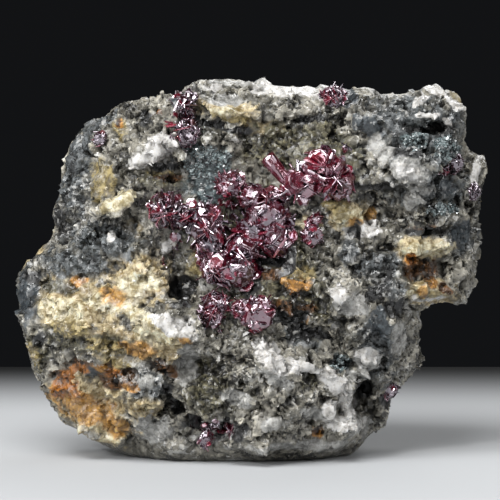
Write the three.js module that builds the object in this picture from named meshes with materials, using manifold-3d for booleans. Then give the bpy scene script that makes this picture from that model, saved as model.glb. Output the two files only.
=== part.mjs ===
// A hand-sized mineral specimen: a broken block of grey and cream vein quartz, the matrix, with groups of
// lustrous dark red bladed crystals standing in a hollow of its front face and along its edges.
// Millimetres, +Z up, the crystal face towards -Y, origin under the middle of the block's box.

import * as THREE from "three";
import { ImprovedNoise } from "three/addons/math/ImprovedNoise.js";
import { mergeVertices } from "three/addons/utils/BufferGeometryUtils.js";
import Module from "manifold-3d";

const wasm = await Module();
wasm.setup();

// Driving dimensions of the block
const MIDDLE_UP = 26; // height of the block's middle above the face it rests on
const FRONT_DEPTH = 17; // from the outline's plane to the front face
const BACK_DEPTH = 17; // from the outline's plane to the back
const FRONT_LEAN = 0.14; // how much of the front depth the foot gains and the top loses
const BOXINESS = 2.9; // exponent of the section through the block: 2 is an ellipse
const SPLITS = 15; // how finely the starting icosahedron is divided
const FRONT_SHARE = 0.5; // shift of the sphere's points that crowds them on the front, in radians
const FINE_OUTLINE = [0.5, 0.95]; // share of the outline's radius over which its small notches fade in
const SHARP_BLUR = 0.03; // half the angle over which the outline's own notches are averaged, in radians
const SOFT_BLUR = 0.25; // the same for the faded outline of the front and the back
const STEP_LENGTH = 13; // spacing of the stepped breaks that cross every face
const STEP_HEIGHT = 2.2; // height between the deepest and the highest step
const STEP_COUNT = 5; // number of steps in that height
const WAVE_LENGTH = 5; // spacing of the finer unevenness
const WAVE_HEIGHT = 0.6; // its height

// Driving dimensions of the crystals
const SEAT_GAP = 0.3; // clearance between a crystal group and the block that carries it
const TABLET_RIM = 0.76; // radius of a tablet's flat face as a share of the whole
const PRISM_TIP = 0.3; // length of a prism's pointed end as a share of the whole

// Outline of the block from the front, clockwise from the left shoulder: [across, up]
const OUTLINE = [
  [-26.9, 40.2], [-24.4, 45.1], [-22.7, 46.6], [-20.3, 47.6], [-20.5, 48.5], [-19.6, 49.1], [-16.9, 49.6],
  [-12.9, 50.5], [-10.2, 50.4], [-9.5, 51.9], [-8, 52.3], [-4.8, 52.3], [1.4, 51.6], [3.9, 51.1],
  [8.4, 51.1], [10.4, 51.8], [12.3, 51.2], [15.4, 51], [18.6, 50.1], [20.7, 50.8], [24.9, 51.5],
  [27.3, 50.8], [29.1, 49.4], [30.9, 47.9], [29, 46.8], [29.3, 45.2], [31.2, 42.4], [33.3, 41.4],
  [31.9, 37.4], [32.5, 35.4], [31.6, 33.9], [32.1, 27.7], [31, 24.4], [30.2, 21.4], [28, 17.5],
  [25.5, 14], [23, 11.5], [20.7, 9], [19.3, 6], [18.8, 4.3], [16.4, 2.9], [14.6, 0], [12.5, -3.4],
  [0, -4], [-13, -3.6], [-16.5, -1.2], [-21.3, 1.6], [-24.6, 2.6], [-26, 4.4], [-27.5, 4.6], [-29, 7],
  [-30.2, 9], [-29.7, 10.2], [-31.4, 13.6], [-32.3, 16], [-31.7, 17], [-32.9, 20.3], [-33.3, 22.3],
  [-33, 24.4], [-32.1, 26.3], [-29.4, 29], [-27.3, 30.4], [-27.9, 32.8], [-26.7, 36.7],
];

// Fracture faces that take off the rims of the front and the back: facing, and distance from the middle
const FRACTURES = [
  { facing: [0.1, 1, 0.08], distance: 15.5 },
  { facing: [0.75, 0.8, 0.25], distance: 23.5 },
  { facing: [-0.7, 0.85, 0.3], distance: 23 },
  { facing: [-0.55, 0.8, -0.45], distance: 23.5 },
  { facing: [0.3, 0.85, -0.6], distance: 22 },
  { facing: [0.1, 0.7, 0.75], distance: 24 },
  { facing: [0.7, -0.7, 0.15], distance: 27 },
  { facing: [-0.7, -0.7, 0.35], distance: 25.5 },
  { facing: [-0.3, -0.75, 0.6], distance: 25 },
  { facing: [0.5, -0.75, -0.4], distance: 23 },
  { facing: [-0.55, -0.7, -0.45], distance: 27 },
];
const RIM_DEPTH = 2.5; // least depth left at the outline by those faces, either side of its plane

// The piece broken out under the right-hand end, which leaves an overhang: its inner corner and its size
const OVERHANG = { corner: [22.8, 20.8], width: 14, height: 24, lean: -6 };

// Ledges and lumps of the front face: middle, half sizes, turn in degrees, rise towards the front, and the
// share of the way in from the rim that the flank takes
const LEDGES = [
  { what: "white foot ledge", x: 0.5, z: 9, across: 9.5, up: 8.6, turn: -20, rise: 4.2, flank: 0.3 },
  { what: "its right end", x: 8.5, z: 6, across: 7.2, up: 6, turn: -28, rise: 3.6, flank: 0.3 },
  { what: "cream block", x: -21, z: 14.5, across: 12.5, up: 11.5, turn: 10, rise: 3.4, flank: 0.4 },
  { what: "its nose", x: -12.2, z: 17.8, across: 5.2, up: 4.2, turn: -15, rise: 4.4, flank: 0.4 },
  { what: "its shoulder", x: -14.5, z: 25, across: 4.5, up: 5, turn: 20, rise: 2.2, flank: 0.5 },
  { what: "white top bar", x: 0.6, z: 50, across: 11.5, up: 3.8, turn: -2, rise: 3.2, flank: 0.3 },
  { what: "white knob", x: -14, z: 44.7, across: 4.4, up: 3.9, turn: 15, rise: 2.4, flank: 0.35 },
  { what: "cream spar", x: -19, z: 36.2, across: 4.8, up: 2.3, turn: 28, rise: 2, flank: 0.35 },
  { what: "grey lens", x: 16.2, z: 46.9, across: 3.4, up: 2, turn: -18, rise: 1.2, flank: 0.6 },
  { what: "grey quartz face", x: 21, z: 40.2, across: 4.6, up: 3.3, turn: -30, rise: 2, flank: 0.35 },
  { what: "corner lobe", x: 26.5, z: 48.6, across: 4, up: 2.4, turn: 0, rise: 1.6, flank: 0.5 },
  { what: "upper druse knob", x: 22.5, z: 45, across: 1.9, up: 1.5, turn: 0, rise: 1.3, flank: 0.8 },
  { what: "middle druse knob", x: 27.6, z: 43, across: 3.2, up: 2.3, turn: -10, rise: 1.5, flank: 0.8 },
  { what: "lower druse knob", x: 27, z: 35.4, across: 3, up: 2, turn: 0, rise: 1.6, flank: 0.8 },
  { what: "rim of the amber pocket", x: 27, z: 22.8, across: 4.4, up: 1.8, turn: 5, rise: 1.4, flank: 0.5 },
  { what: "white lump", x: 11.3, z: 23.6, across: 2.4, up: 1.5, turn: 5, rise: 1.6, flank: 0.5 },
  { what: "ochre ridge", x: 6.4, z: 25.2, across: 5.6, up: 1.7, turn: -20, rise: 1.6, flank: 0.6 },
  { what: "yellow ridge", x: 13.4, z: 33.8, across: 4.4, up: 2.1, turn: -8, rise: 1.6, flank: 0.5 },
  { what: "right flank", x: 17, z: 15, across: 3.6, up: 7, turn: -12, rise: 1.2, flank: 0.6 },
];

// Hollows, pits and clefts of the front face, sunk in the same way
const HOLLOWS = [
  { what: "crystal hollow", x: -3.4, z: 32.5, across: 11.5, up: 14.5, turn: -12, sink: 3.4, flank: 0.4 },
  { what: "its right end", x: 6.5, z: 33, across: 8, up: 7.5, turn: 20, sink: 2.2, flank: 0.5 },
  { what: "pit by the cream block", x: -10, z: 23.5, across: 3.2, up: 2.6, turn: 0, sink: 2.8, flank: 0.7 },
  { what: "pit under the crystals", x: -0.6, z: 24.2, across: 3.6, up: 2, turn: 0, sink: 2.2, flank: 0.7 },
  { what: "nook under the top bar", x: -5, z: 46.4, across: 4.6, up: 1.2, turn: -6, sink: 1.4, flank: 0.8 },
  { what: "groove below the spar", x: -18.5, z: 32.8, across: 7, up: 1.6, turn: 28, sink: 1.5, flank: 0.8 },
  { what: "corner socket", x: 25, z: 46.2, across: 3.6, up: 1.7, turn: -5, sink: 3, flank: 0.7 },
  { what: "socket by the top knob", x: 22.8, z: 43.2, across: 2.8, up: 1.2, turn: 10, sink: 2.2, flank: 0.7 },
  { what: "socket by the middle knob", x: 28.4, z: 40.2, across: 2.6, up: 1.4, turn: 0, sink: 2, flank: 0.8 },
  { what: "cleft by the lower knob", x: 26, z: 32.9, across: 5.4, up: 1, turn: 0, sink: 1.8, flank: 0.8 },
  { what: "amber pocket", x: 24.3, z: 26.6, across: 3.4, up: 2.2, turn: 0, sink: 2.8, flank: 0.6 },
  { what: "pit at the foot", x: -5.2, z: 4.6, across: 3.6, up: 1.8, turn: 0, sink: 2.8, flank: 0.7 },
  { what: "cleft by the foot ledge", x: -11.4, z: 9, across: 1.8, up: 6, turn: -12, sink: 2.6, flank: 0.8 },
  { what: "dark cleft at the right", x: 15, z: 9.2, across: 1.5, up: 3, turn: 0, sink: 3.6, flank: 0.8 },
  { what: "pit at the left", x: -30.4, z: 24.8, across: 2.6, up: 1.3, turn: 0, sink: 1.6, flank: 0.8 },
];

const FRONT_SIDE = [0.2, 0.6]; // share of the front depth over which ledges and hollows fade in

const mix = THREE.MathUtils.lerp;
const ramp = THREE.MathUtils.smoothstep;
const perlin = new ImprovedNoise();

// Distance from the block's middle to its outline, along an angle about the line of sight
function outlineRadius(angle) {
  const along = [Math.cos(angle), Math.sin(angle)];
  let radius = 0;
  OUTLINE.forEach(([x0, z0], i) => {
    const [x1, z1] = OUTLINE[(i + 1) % OUTLINE.length];
    const edge = [x1 - x0, z1 - z0];
    const start = [x0, z0 - MIDDLE_UP];
    const cross = along[0] * edge[1] - along[1] * edge[0];
    const reach = (start[0] * edge[1] - start[1] * edge[0]) / cross;
    const share = (start[0] * along[1] - start[1] * along[0]) / cross;
    if (share >= 0 && share <= 1) radius = Math.max(radius, reach);
  });
  return radius;
}

// The same distance averaged over a small angle either side
function blurredRadius(angle, blur) {
  const steps = [-1, -0.5, 0, 0.5, 1];
  return steps.reduce((sum, step) => sum + outlineRadius(angle + step * blur), 0) / steps.length;
}

// A stepped break: rolling ground cut into flat treads with short risers between them
function stepped(height) {
  const level = height * STEP_COUNT;
  const tread = Math.floor(level);
  return (tread + ramp(level - tread, 0.6, 1)) / STEP_COUNT;
}

// How far inside a turned ellipse a point lies, from 0 at its rim and outside to 1 past its flank
function insideOf({ x, z, across, up, turn, flank }, atX, atZ) {
  const angle = THREE.MathUtils.degToRad(turn);
  const dx = atX - x;
  const dz = atZ - z;
  const u = (dx * Math.cos(angle) + dz * Math.sin(angle)) / across;
  const v = (dz * Math.cos(angle) - dx * Math.sin(angle)) / up;
  return ramp(1 - Math.hypot(u, v), 0, flank);
}

// How far the front face stands forward of its plain curve at a place
function relief(atX, atZ) {
  const rise = Math.max(0, ...LEDGES.map((ledge) => ledge.rise * insideOf(ledge, atX, atZ)));
  const sink = Math.max(0, ...HOLLOWS.map((hollow) => hollow.sink * insideOf(hollow, atX, atZ)));
  return rise - sink;
}

// Brings a point that lies beyond a fracture face back to it, straight along the line of sight
function breakOff(point) {
  const side = Math.sign(point.y);
  for (const { facing, distance } of FRACTURES) {
    const normal = new THREE.Vector3(...facing).normalize();
    const beyond = normal.x * point.x + normal.y * point.y + normal.z * (point.z - MIDDLE_UP) - distance;
    const depth = side * point.y;
    const left = depth - (side * beyond) / normal.y;
    if (beyond > 0 && side * normal.y > 0) point.y = side * Math.max(left, Math.min(depth, RIM_DEPTH));
  }
}

// Smooth noise between about -1 and 1 whose bumps are the given length apart
function noiseAt(point, length) {
  return perlin.noise(point.x / length, point.y / length, point.z / length);
}

// Where the surface of the block lies along a direction from its middle
function blockPoint(direction) {
  const angle = Math.atan2(direction.z, direction.x);
  const plainTilt = Math.asin(THREE.MathUtils.clamp(-direction.y, -1, 1));
  const tilt = plainTilt + FRONT_SHARE * Math.cos(plainTilt);
  const [wide, deep] = [Math.cos(tilt), Math.sin(tilt)];
  const swell = (Math.abs(wide) ** BOXINESS + Math.abs(deep) ** BOXINESS) ** (-1 / BOXINESS);
  const reach = Math.abs(wide) * swell;
  const depth = deep * swell;
  const edge = ramp(reach, ...FINE_OUTLINE);
  const radius = mix(blurredRadius(angle, SOFT_BLUR), blurredRadius(angle, SHARP_BLUR), edge) * reach;
  const up = MIDDLE_UP + radius * Math.sin(angle);
  const lean = 1 - (FRONT_LEAN * (up - MIDDLE_UP)) / MIDDLE_UP;
  const thick = depth > 0 ? FRONT_DEPTH * lean : BACK_DEPTH;
  const point = new THREE.Vector3(radius * Math.cos(angle), -depth * thick, up);
  breakOff(point);
  const steps = STEP_HEIGHT * stepped(noiseAt(point, STEP_LENGTH));
  const waves = WAVE_HEIGHT * noiseAt(point, WAVE_LENGTH);
  point.addScaledVector(direction, (steps + waves) * (1 - edge));
  point.y -= relief(point.x, point.z) * ramp(depth, ...FRONT_SIDE);
  point.z = Math.max(point.z, 0);
  return point;
}

// The matrix: a divided sphere whose points are moved out to the block's surface
function blockGeometry() {
  const ball = new THREE.IcosahedronGeometry(1, SPLITS);
  ball.deleteAttribute("normal");
  ball.deleteAttribute("uv");
  const geometry = mergeVertices(ball);
  const points = geometry.getAttribute("position");
  for (let i = 0; i < points.count; i++) {
    const moved = blockPoint(new THREE.Vector3().fromBufferAttribute(points, i).normalize());
    points.setXYZ(i, moved.x, moved.y, moved.z);
  }
  geometry.computeVertexNormals();
  return geometry;
}

// A closed geometry as a solid that can be joined and cut
function solidOf(geometry) {
  const bare = new THREE.BufferGeometry();
  bare.setAttribute("position", geometry.getAttribute("position"));
  bare.setIndex(geometry.index);
  const merged = mergeVertices(bare, 1e-5);
  const corners = merged.index.array;
  const triangles = [];
  for (let i = 0; i < corners.length; i += 3) {
    const [a, b, c] = corners.slice(i, i + 3);
    if (a !== b && b !== c && c !== a) triangles.push(a, b, c);
  }
  const vertProperties = merged.getAttribute("position").array;
  const triVerts = new Uint32Array(triangles);
  return new wasm.Manifold(new wasm.Mesh({ numProp: 3, vertProperties, triVerts }));
}

// A solid as a geometry to show
function geometryOf(solid) {
  const { vertProperties, triVerts } = solid.getMesh();
  const geometry = new THREE.BufferGeometry();
  geometry.setAttribute("position", new THREE.BufferAttribute(new Float32Array(vertProperties), 3));
  geometry.setIndex(new THREE.BufferAttribute(new Uint32Array(triVerts), 1));
  geometry.computeVertexNormals();
  return geometry;
}

// The block with its overhang broken out
function brokenBlock() {
  const { corner, width, height, lean } = OVERHANG;
  const gap = new THREE.BoxGeometry(width, 4 * BACK_DEPTH, height);
  gap.translate(width / 2, 0, -height / 2).rotateY(THREE.MathUtils.degToRad(lean));
  gap.translate(corner[0], 0, corner[1]);
  return geometryOf(solidOf(blockGeometry()).subtract(solidOf(gap)));
}

const rock = brokenBlock();
const rockMesh = new THREE.Mesh(rock);

// The block swollen by the seat gap, which cuts the crystals' undersides
function swollenBlock() {
  const swollen = rock.clone();
  const points = swollen.getAttribute("position");
  const normals = swollen.getAttribute("normal");
  for (let i = 0; i < points.count; i++) {
    const out = new THREE.Vector3().fromBufferAttribute(normals, i).multiplyScalar(SEAT_GAP);
    points.setXYZ(i, points.getX(i) + out.x, points.getY(i) + out.y, points.getZ(i) + out.z);
  }
  return solidOf(swollen);
}
const seat = swollenBlock();

// The point of the front face behind a place, seen from the front
const lineOfSight = new THREE.Raycaster();
function onFront(x, z) {
  lineOfSight.set(new THREE.Vector3(x, -2 * FRONT_DEPTH, z), new THREE.Vector3(0, 1, 0));
  return lineOfSight.intersectObject(rockMesh)[0].point;
}

// A six-sided tablet with bevelled rims, its flat faces towards the front and the back
function tablet(radius, thickness) {
  const flat = radius * TABLET_RIM;
  const half = thickness / 2;
  const section = [[0, -half], [flat, -half], [radius, 0], [flat, half], [0, half]];
  return new THREE.LatheGeometry(section.map(([x, y]) => new THREE.Vector2(x, y)), 6);
}

// A six-sided prism lying across, with one pointed end to the right
function prism(radius, length) {
  const half = length / 2;
  const section = [[0, -half], [radius, -half], [radius, half - length * PRISM_TIP], [0, half]];
  const upright = new THREE.LatheGeometry(section.map(([x, y]) => new THREE.Vector2(x, y)), 6);
  return upright.rotateZ(-Math.PI / 2);
}

// Sets a crystal on the front face: nod tips its face up or down, sway turns it left or right, spin rolls it
function setOn(geometry, { x, z, lift = 0, nod = 0, sway = 0, spin = 0 }) {
  const { degToRad } = THREE.MathUtils;
  const foot = onFront(x, z);
  geometry.rotateY(degToRad(spin)).rotateX(degToRad(nod)).rotateZ(degToRad(sway));
  return geometry.translate(x, foot.y - lift, z);
}

// One tablet that faces the viewer
function facing(x, z, radius, thickness, turns = {}) {
  return [setOn(tablet(radius, thickness), { x, z, lift: thickness * 0.45, ...turns })];
}

// One lying prism
function lying(x, z, radius, length, turns = {}) {
  return [setOn(prism(radius, length), { x, z, lift: radius * 0.5, ...turns })];
}

// A rosette: tablets standing on edge, fanned about the line of sight through their common middle
function rosette(x, z, radius, thickness, count, turns = {}) {
  const step = 180 / count;
  return Array.from({ length: count }, (_, i) => {
    const reach = radius * (1 - 0.12 * (i % 3));
    const blade = tablet(reach, thickness * (1 + 0.4 * (i % 2))).rotateZ(Math.PI / 2);
    blade.rotateX(THREE.MathUtils.degToRad(30 * (i % 2)));
    return setOn(blade, { x, z, lift: radius * 0.4, ...turns, spin: (turns.spin ?? 0) + i * step });
  });
}

// The crystal groups, each of crystals that have grown into one another
const CRYSTAL_GROUPS = {
  crystals_centre: [
    ...rosette(-6.1, 32.6, 3, 1, 4, { sway: 10, spin: 12 }),
    ...facing(2.1, 33.2, 3.4, 3.4, { nod: 14, sway: -12, spin: 20 }),
    ...facing(3.7, 30.4, 2.3, 2.8, { nod: -30, sway: 25 }),
    ...facing(3.1, 35.9, 1.8, 2.4, { nod: 25, sway: 20, spin: 10 }),
    ...facing(0.2, 36.4, 1.9, 2.4, { nod: -15, sway: -35, spin: 15 }),
    ...facing(0.1, 31, 1.9, 2.6, { nod: 10, sway: 20 }),
    ...facing(-1.5, 29.2, 2.5, 2, { nod: 40, sway: -10, spin: 5 }),
    ...facing(-4.6, 27, 2.7, 2.6, { nod: -20, sway: -25, spin: 25 }),
    ...facing(-1.8, 26.2, 2.4, 2.4, { nod: 20, sway: 30 }),
    ...facing(-6.2, 29.6, 1.8, 2, { nod: 25, sway: -60 }),
  ],
  crystals_tail: [
    ...facing(-5, 22, 1.9, 2.2, { nod: 25, sway: -20 }),
    ...facing(-5.6, 20.2, 1.6, 2.2, { nod: -20, sway: 30, spin: 20 }),
  ],
  crystal_lower: [
    ...facing(0.7, 20.6, 2.3, 2.6, { nod: 15, sway: 15, spin: 10 }),
    ...facing(1.2, 21.6, 1.6, 2, { nod: -35, sway: -25 }),
    ...facing(-1.6, 21.4, 1.3, 1.6, { nod: 10, sway: -30 }),
  ],
  crystal_upper: [
    ...facing(-3.2, 38.1, 1.8, 2.6, { nod: 5, sway: -30, spin: 15 }),
    ...facing(-2.4, 38.6, 1.3, 2, { nod: 25, sway: 30 }),
  ],
  rosette_upper_right: [
    ...rosette(10.8, 39.6, 3.6, 1, 5, { nod: 12, sway: -12 }),
    ...facing(9.2, 41.2, 2.1, 2.4, { nod: -25, sway: -20, spin: 15 }),
    ...facing(12, 37.6, 2, 1.6, { nod: 35, sway: 20 }),
    ...facing(7.6, 38, 1.8, 2.4, { nod: 20, sway: -20 }),
    ...facing(6, 38.4, 1.7, 2.6, { nod: -20, sway: 15, spin: 10 }),
    ...lying(4, 39.7, 1, 5.8, { spin: 48 }),
  ],
  rosette_left: [
    ...rosette(-11.8, 34.6, 3, 0.9, 4, { nod: 18, sway: 8, spin: 20 }),
    ...facing(-9.9, 33.6, 1.8, 1.8, { nod: -15, sway: 25 }),
  ],
  rosette_top_left: [
    ...rosette(-8.6, 49.6, 1.8, 0.7, 3, { nod: 20 }),
    ...facing(-9, 48, 1.5, 1.8, { nod: 40, spin: 10 }),
  ],
  crystal_upper_left: [
    ...facing(-9.2, 45, 1.9, 2, { nod: -15, sway: 30, spin: 25 }),
    ...facing(-8.6, 45.8, 1.4, 2, { nod: 20, sway: -25 }),
  ],
  crystal_top: [
    ...facing(10.9, 49.7, 1.8, 2, { nod: 20, sway: -20 }),
    ...facing(11.6, 50.1, 1.2, 1.6, { nod: -30, sway: 30 }),
  ],
  crystals_right: [
    ...facing(8.2, 31.2, 1.5, 1.8, { nod: 10, sway: 30 }),
    ...lying(8.5, 33, 0.8, 3, { spin: -62 }),
  ],
  crystal_right_shoulder: [...facing(28, 40.8, 1.3, 1.4, { nod: 20, sway: 20 })],
  crystal_right_edge: [...facing(30.4, 36.8, 1.3, 1.6, { nod: 15, sway: 45 })],
  crystal_left_shoulder: [...facing(-20.8, 44.2, 1.1, 1.1, { nod: 10, sway: -25 })],
  crystal_foot: [...facing(-6.4, 3.6, 1.5, 1.6, { nod: -10, sway: -20 })],
  crystal_right_foot: [...facing(19, 9.6, 1.2, 1.4, { nod: 0, sway: 35 })],
};

// Joins the crystals of a group, trims them to the block's surface and keeps the piece that stands out of it
function groupGeometry(crystals) {
  const joined = crystals.map(solidOf).reduce((all, crystal) => all.add(crystal));
  const pieces = joined.subtract(seat).decompose();
  pieces.sort((a, b) => b.volume() - a.volume());
  return geometryOf(pieces[0]);
}

function named(name, geometry, look) {
  const mesh = new THREE.Mesh(geometry, new THREE.MeshStandardMaterial(look));
  mesh.name = name;
  return mesh;
}

const quartz = { color: 0x8f8c82, roughness: 0.75, metalness: 0 };
const redCrystal = { color: 0x5a1420, roughness: 0.15, metalness: 0.2 };

const specimen = new THREE.Group();
specimen.add(named("matrix", rock, quartz));
for (const [name, crystals] of Object.entries(CRYSTAL_GROUPS)) {
  specimen.add(named(name, groupGeometry(crystals), redCrystal));
}

// The origin lies under the middle of the box
const box = new THREE.Box3().setFromObject(specimen);
specimen.position.set(-(box.min.x + box.max.x) / 2, -(box.min.y + box.max.y) / 2, -box.min.z);

export default specimen;
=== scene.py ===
# %% [markdown]
# # A block of vein quartz with dark red crystals
# The specimen is one broken block of quartz rock, the matrix, a little wider than a matchbox is long.
# Bright dark red crystals stand in a hollow of its front face. This lesson keeps the solids of the model as
# the frame, grows the rock's broken surface and the crystals' steps over them, and stains the quartz as
# iron-bearing water did.

# %% Load the solids
import math

import bpy
import numpy as np
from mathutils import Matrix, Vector, noise


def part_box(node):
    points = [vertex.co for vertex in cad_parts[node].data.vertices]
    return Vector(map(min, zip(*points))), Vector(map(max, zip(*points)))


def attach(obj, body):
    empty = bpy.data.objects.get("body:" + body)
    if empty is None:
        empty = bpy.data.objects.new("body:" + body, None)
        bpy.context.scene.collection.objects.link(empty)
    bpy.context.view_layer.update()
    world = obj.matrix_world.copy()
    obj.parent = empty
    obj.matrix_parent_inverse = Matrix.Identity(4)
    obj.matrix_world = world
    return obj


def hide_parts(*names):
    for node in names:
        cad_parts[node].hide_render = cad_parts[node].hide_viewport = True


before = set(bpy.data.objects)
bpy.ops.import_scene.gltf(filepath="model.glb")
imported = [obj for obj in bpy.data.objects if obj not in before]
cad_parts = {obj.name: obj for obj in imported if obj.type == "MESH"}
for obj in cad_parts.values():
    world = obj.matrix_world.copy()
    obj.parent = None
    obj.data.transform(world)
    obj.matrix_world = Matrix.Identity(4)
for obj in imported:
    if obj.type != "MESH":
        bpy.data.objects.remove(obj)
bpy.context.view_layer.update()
scene = bpy.context.scene
MM = 0.001
SEED = 11
noise.seed_set(SEED)  # without this the noise is seeded from the clock, and each run gives another rock

# %% [markdown]
# ## Camera
# The view is almost level, from far off with a long lens, so the block's sides hardly converge. A camera
# this far away with a 268 mm lens keeps the block as large in the picture as a near one would, without the
# wide-angle bulge.

# %% Camera
EYE = Vector((-0.1, -519, 60.2)) * MM
LOOK_DOWN = 3.5  # degrees
LENS = 268  # mm
NEAREST_SEEN = 10  # mm from the lens
bpy.ops.object.camera_add(location=EYE, rotation=(math.radians(90 - LOOK_DOWN), 0, 0))
camera = bpy.context.object
camera.data.lens = LENS
camera.data.clip_start = NEAREST_SEEN * MM
scene.camera = camera
print("camera", LENS, "mm lens at", [round(v / MM) for v in EYE])

# %% [markdown]
# ## Small tools
# A few helpers serve the cells below. One makes a single object the selected and active one, because an
# operator acts on all that is selected. One turns a colour as a designer writes it into the linear values
# that the renderer counts with. The others build materials: they start one, add a shader node with its
# inputs filled, and write the nodes that come again and again as one short call.

# %% Small tools
def only(piece):
    """Makes one object the only selected and the active one, in object mode."""
    if bpy.context.mode != "OBJECT":
        bpy.ops.object.mode_set(mode="OBJECT")
    bpy.ops.object.select_all(action="DESELECT")
    piece.select_set(True)
    bpy.context.view_layer.objects.active = piece


def linear(colour):
    """An sRGB hex colour as linear red, green and blue, with alpha."""
    parts = [int(colour[i:i + 2], 16) / 255 for i in (1, 3, 5)]
    return [c / 12.92 if c <= 0.04045 else ((c + 0.055) / 1.055) ** 2.4 for c in parts] + [1.0]


def fill(tree, node, inputs):
    """Fills inputs of a node, each with a value or with another node's output."""
    for key, value in inputs.items():
        if isinstance(value, bpy.types.NodeSocket):
            tree.links.new(value, node.inputs[key])
        else:
            node.inputs[key].default_value = value


def add(tree, kind, inputs=None, **settings):
    """Adds a node with its inputs filled; settings are its properties."""
    node = tree.nodes.new(kind)
    for name, value in settings.items():
        setattr(node, name, value)
    fill(tree, node, inputs or {})
    return node


def new_material(name):
    """An empty node material, its tree and its surface shader."""
    material = bpy.data.materials.new(name)
    material.use_nodes = True
    return material, material.node_tree, material.node_tree.nodes["Principled BSDF"]


def attribute(tree, name):
    """What the points of a mesh hold under this name."""
    return add(tree, "ShaderNodeAttribute", attribute_name=name).outputs["Fac"]


def mixed(tree, factor, first, second):
    """A colour between two: the first where the factor is 0, the second where it is 1."""
    ends = {"Factor": factor, "A": first, "B": second}
    return add(tree, "ShaderNodeMix", ends, data_type="RGBA").outputs["Result"]


def spanned(tree, value, start=(0.0, 1.0), end=(0.0, 1.0), **settings):
    """A value carried over from one range to another, and held within it."""
    ranges = {"From Min": start[0], "From Max": start[1], "To Min": end[0], "To Max": end[1]}
    return add(tree, "ShaderNodeMapRange", {"Value": value, **ranges}, **settings).outputs["Result"]


def on_numbers(tree, operation, *values):
    """The result of a sum, a product or the like with numbers."""
    return add(tree, "ShaderNodeMath", dict(enumerate(values)), operation=operation).outputs[0]


def on_vectors(tree, operation, *values):
    """The same with vectors or colours, part by part."""
    return add(tree, "ShaderNodeVectorMath", dict(enumerate(values)), operation=operation).outputs[0]


print("mid grey in linear values:", [round(v, 3) for v in linear("#808080")])

# %% [markdown]
# ## Floor and light
# A plain pale table top with a dark room behind it lets the bright edges of the rock stand out. Broad soft
# boxes above and to the left light the ledges from over the viewer's shoulder, and the polished crystal
# faces mirror them. Bare lamps would give hard shadows and no more than a spark on each face.

# %% Floor
TABLE_WIDTH, TABLE_DEPTH = 1600, 900  # mm
TABLE_BACK = 130  # mm from the origin to the far edge of the table
FADE_START = 50  # mm behind the origin, where the table begins to darken
bpy.ops.object.select_all(action="DESELECT")
bpy.ops.mesh.primitive_plane_add(size=1)
floor = bpy.context.object
floor.name = "floor"
bpy.ops.object.mode_set(mode="EDIT")
bpy.ops.transform.resize(value=(TABLE_WIDTH * MM, TABLE_DEPTH * MM, 1))
bpy.ops.transform.translate(value=(0, (TABLE_BACK - TABLE_DEPTH / 2) * MM, 0))
bpy.ops.object.mode_set(mode="OBJECT")
# Painted board, matt: a pale ground that mirrors nothing; its far part is painted dark, as painted shade.
table, tree, shader = new_material("matt_white_table")
table_place = add(tree, "ShaderNodeTexCoord").outputs["Object"]
depth = add(tree, "ShaderNodeSeparateXYZ", {0: table_place}).outputs["Y"]
painted_shade_falloff = spanned(tree, depth, (FADE_START * MM, TABLE_BACK * MM), interpolation_type="SMOOTHSTEP")
table_colour = mixed(tree, painted_shade_falloff, linear("#aeb0b2"), linear("#0c0d0d"))
fill(tree, shader, {"Base Color": table_colour, "Roughness": 0.9, "Specular IOR Level": 0.1})
floor.data.materials.append(table)
print("floor", [round(v, 2) for v in floor.dimensions])

# %% Light
ROOM_COLOUR, ROOM_STRENGTH = "#1a1b1d", 0.6
SOFT_BOXES = {  # place and size in mm, power in watts
    "key_box": {"at": (-80, -220, 340), "size": (280, 200), "power": 2.1},
    "left_lamp": {"at": (-230, -420, 230), "size": (60, 60), "power": 1.15},
    "left_box": {"at": (-330, -160, 150), "size": (240, 300), "power": 0.7},
    "right_box": {"at": (330, -160, 170), "size": (200, 260), "power": 0.45},
    "front_card": {"at": (60, -700, 160), "size": (240, 180), "power": 0.5},
    "back_box": {"at": (120, 300, 260), "size": (300, 240), "power": 0.8},
}
AIM = Vector((0, 0, 27)) * MM
scene.world = bpy.data.worlds.new("dark_room")
scene.world.use_nodes = True
room = scene.world.node_tree.nodes["Background"]
room.inputs["Color"].default_value = linear(ROOM_COLOUR)
room.inputs["Strength"].default_value = ROOM_STRENGTH
for name, box in SOFT_BOXES.items():
    bpy.ops.object.light_add(type="AREA", location=Vector(box["at"]) * MM)
    light = bpy.context.object
    light.name = name
    light.data.shape = "RECTANGLE"
    light.data.size, light.data.size_y = (side * MM for side in box["size"])
    light.data.energy = box["power"]
    light.rotation_euler = (AIM - light.location).to_track_quat("-Z", "Y").to_euler()
scene.view_settings.view_transform = "Standard"
print("soft boxes:", len(SOFT_BOXES))

# %% [markdown]
# ## The broken rock
# A fresh break in vein quartz is a patchwork of small flat facets at several sizes, with steps between
# them. The solid already has the large ledges and hollows. The facets could be sculpted by hand, but there
# are thousands, so code moves the points of a mesh instead. The skin is remeshed to an even grid and broken
# twice: first into blocks and steps of a few millimetres; then, on a second even grid with a finer front,
# into chips of one or two. Points that still stick out like thorns are pulled back.

# %% Read and move the points of a mesh
def rows_of(items, what, width, kind=np.float32):
    """What all points, edges or triangles of a mesh hold, a row for each."""
    flat = np.empty(len(items) * width, kind)
    items.foreach_get(what, flat)
    return flat.reshape(-1, width)


def points_of(mesh):
    """All points of a mesh in millimetres."""
    return rows_of(mesh.vertices, "co", 3).astype(float) / MM


def normals_of(mesh):
    """The outward direction at every point of a mesh."""
    return rows_of(mesh.vertex_normals, "vector", 3).astype(float)


def set_points(mesh, points):
    """Moves all points of a mesh to places in millimetres."""
    mesh.vertices.foreach_set("co", (points * MM).astype(np.float32).ravel())
    mesh.update()


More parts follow.
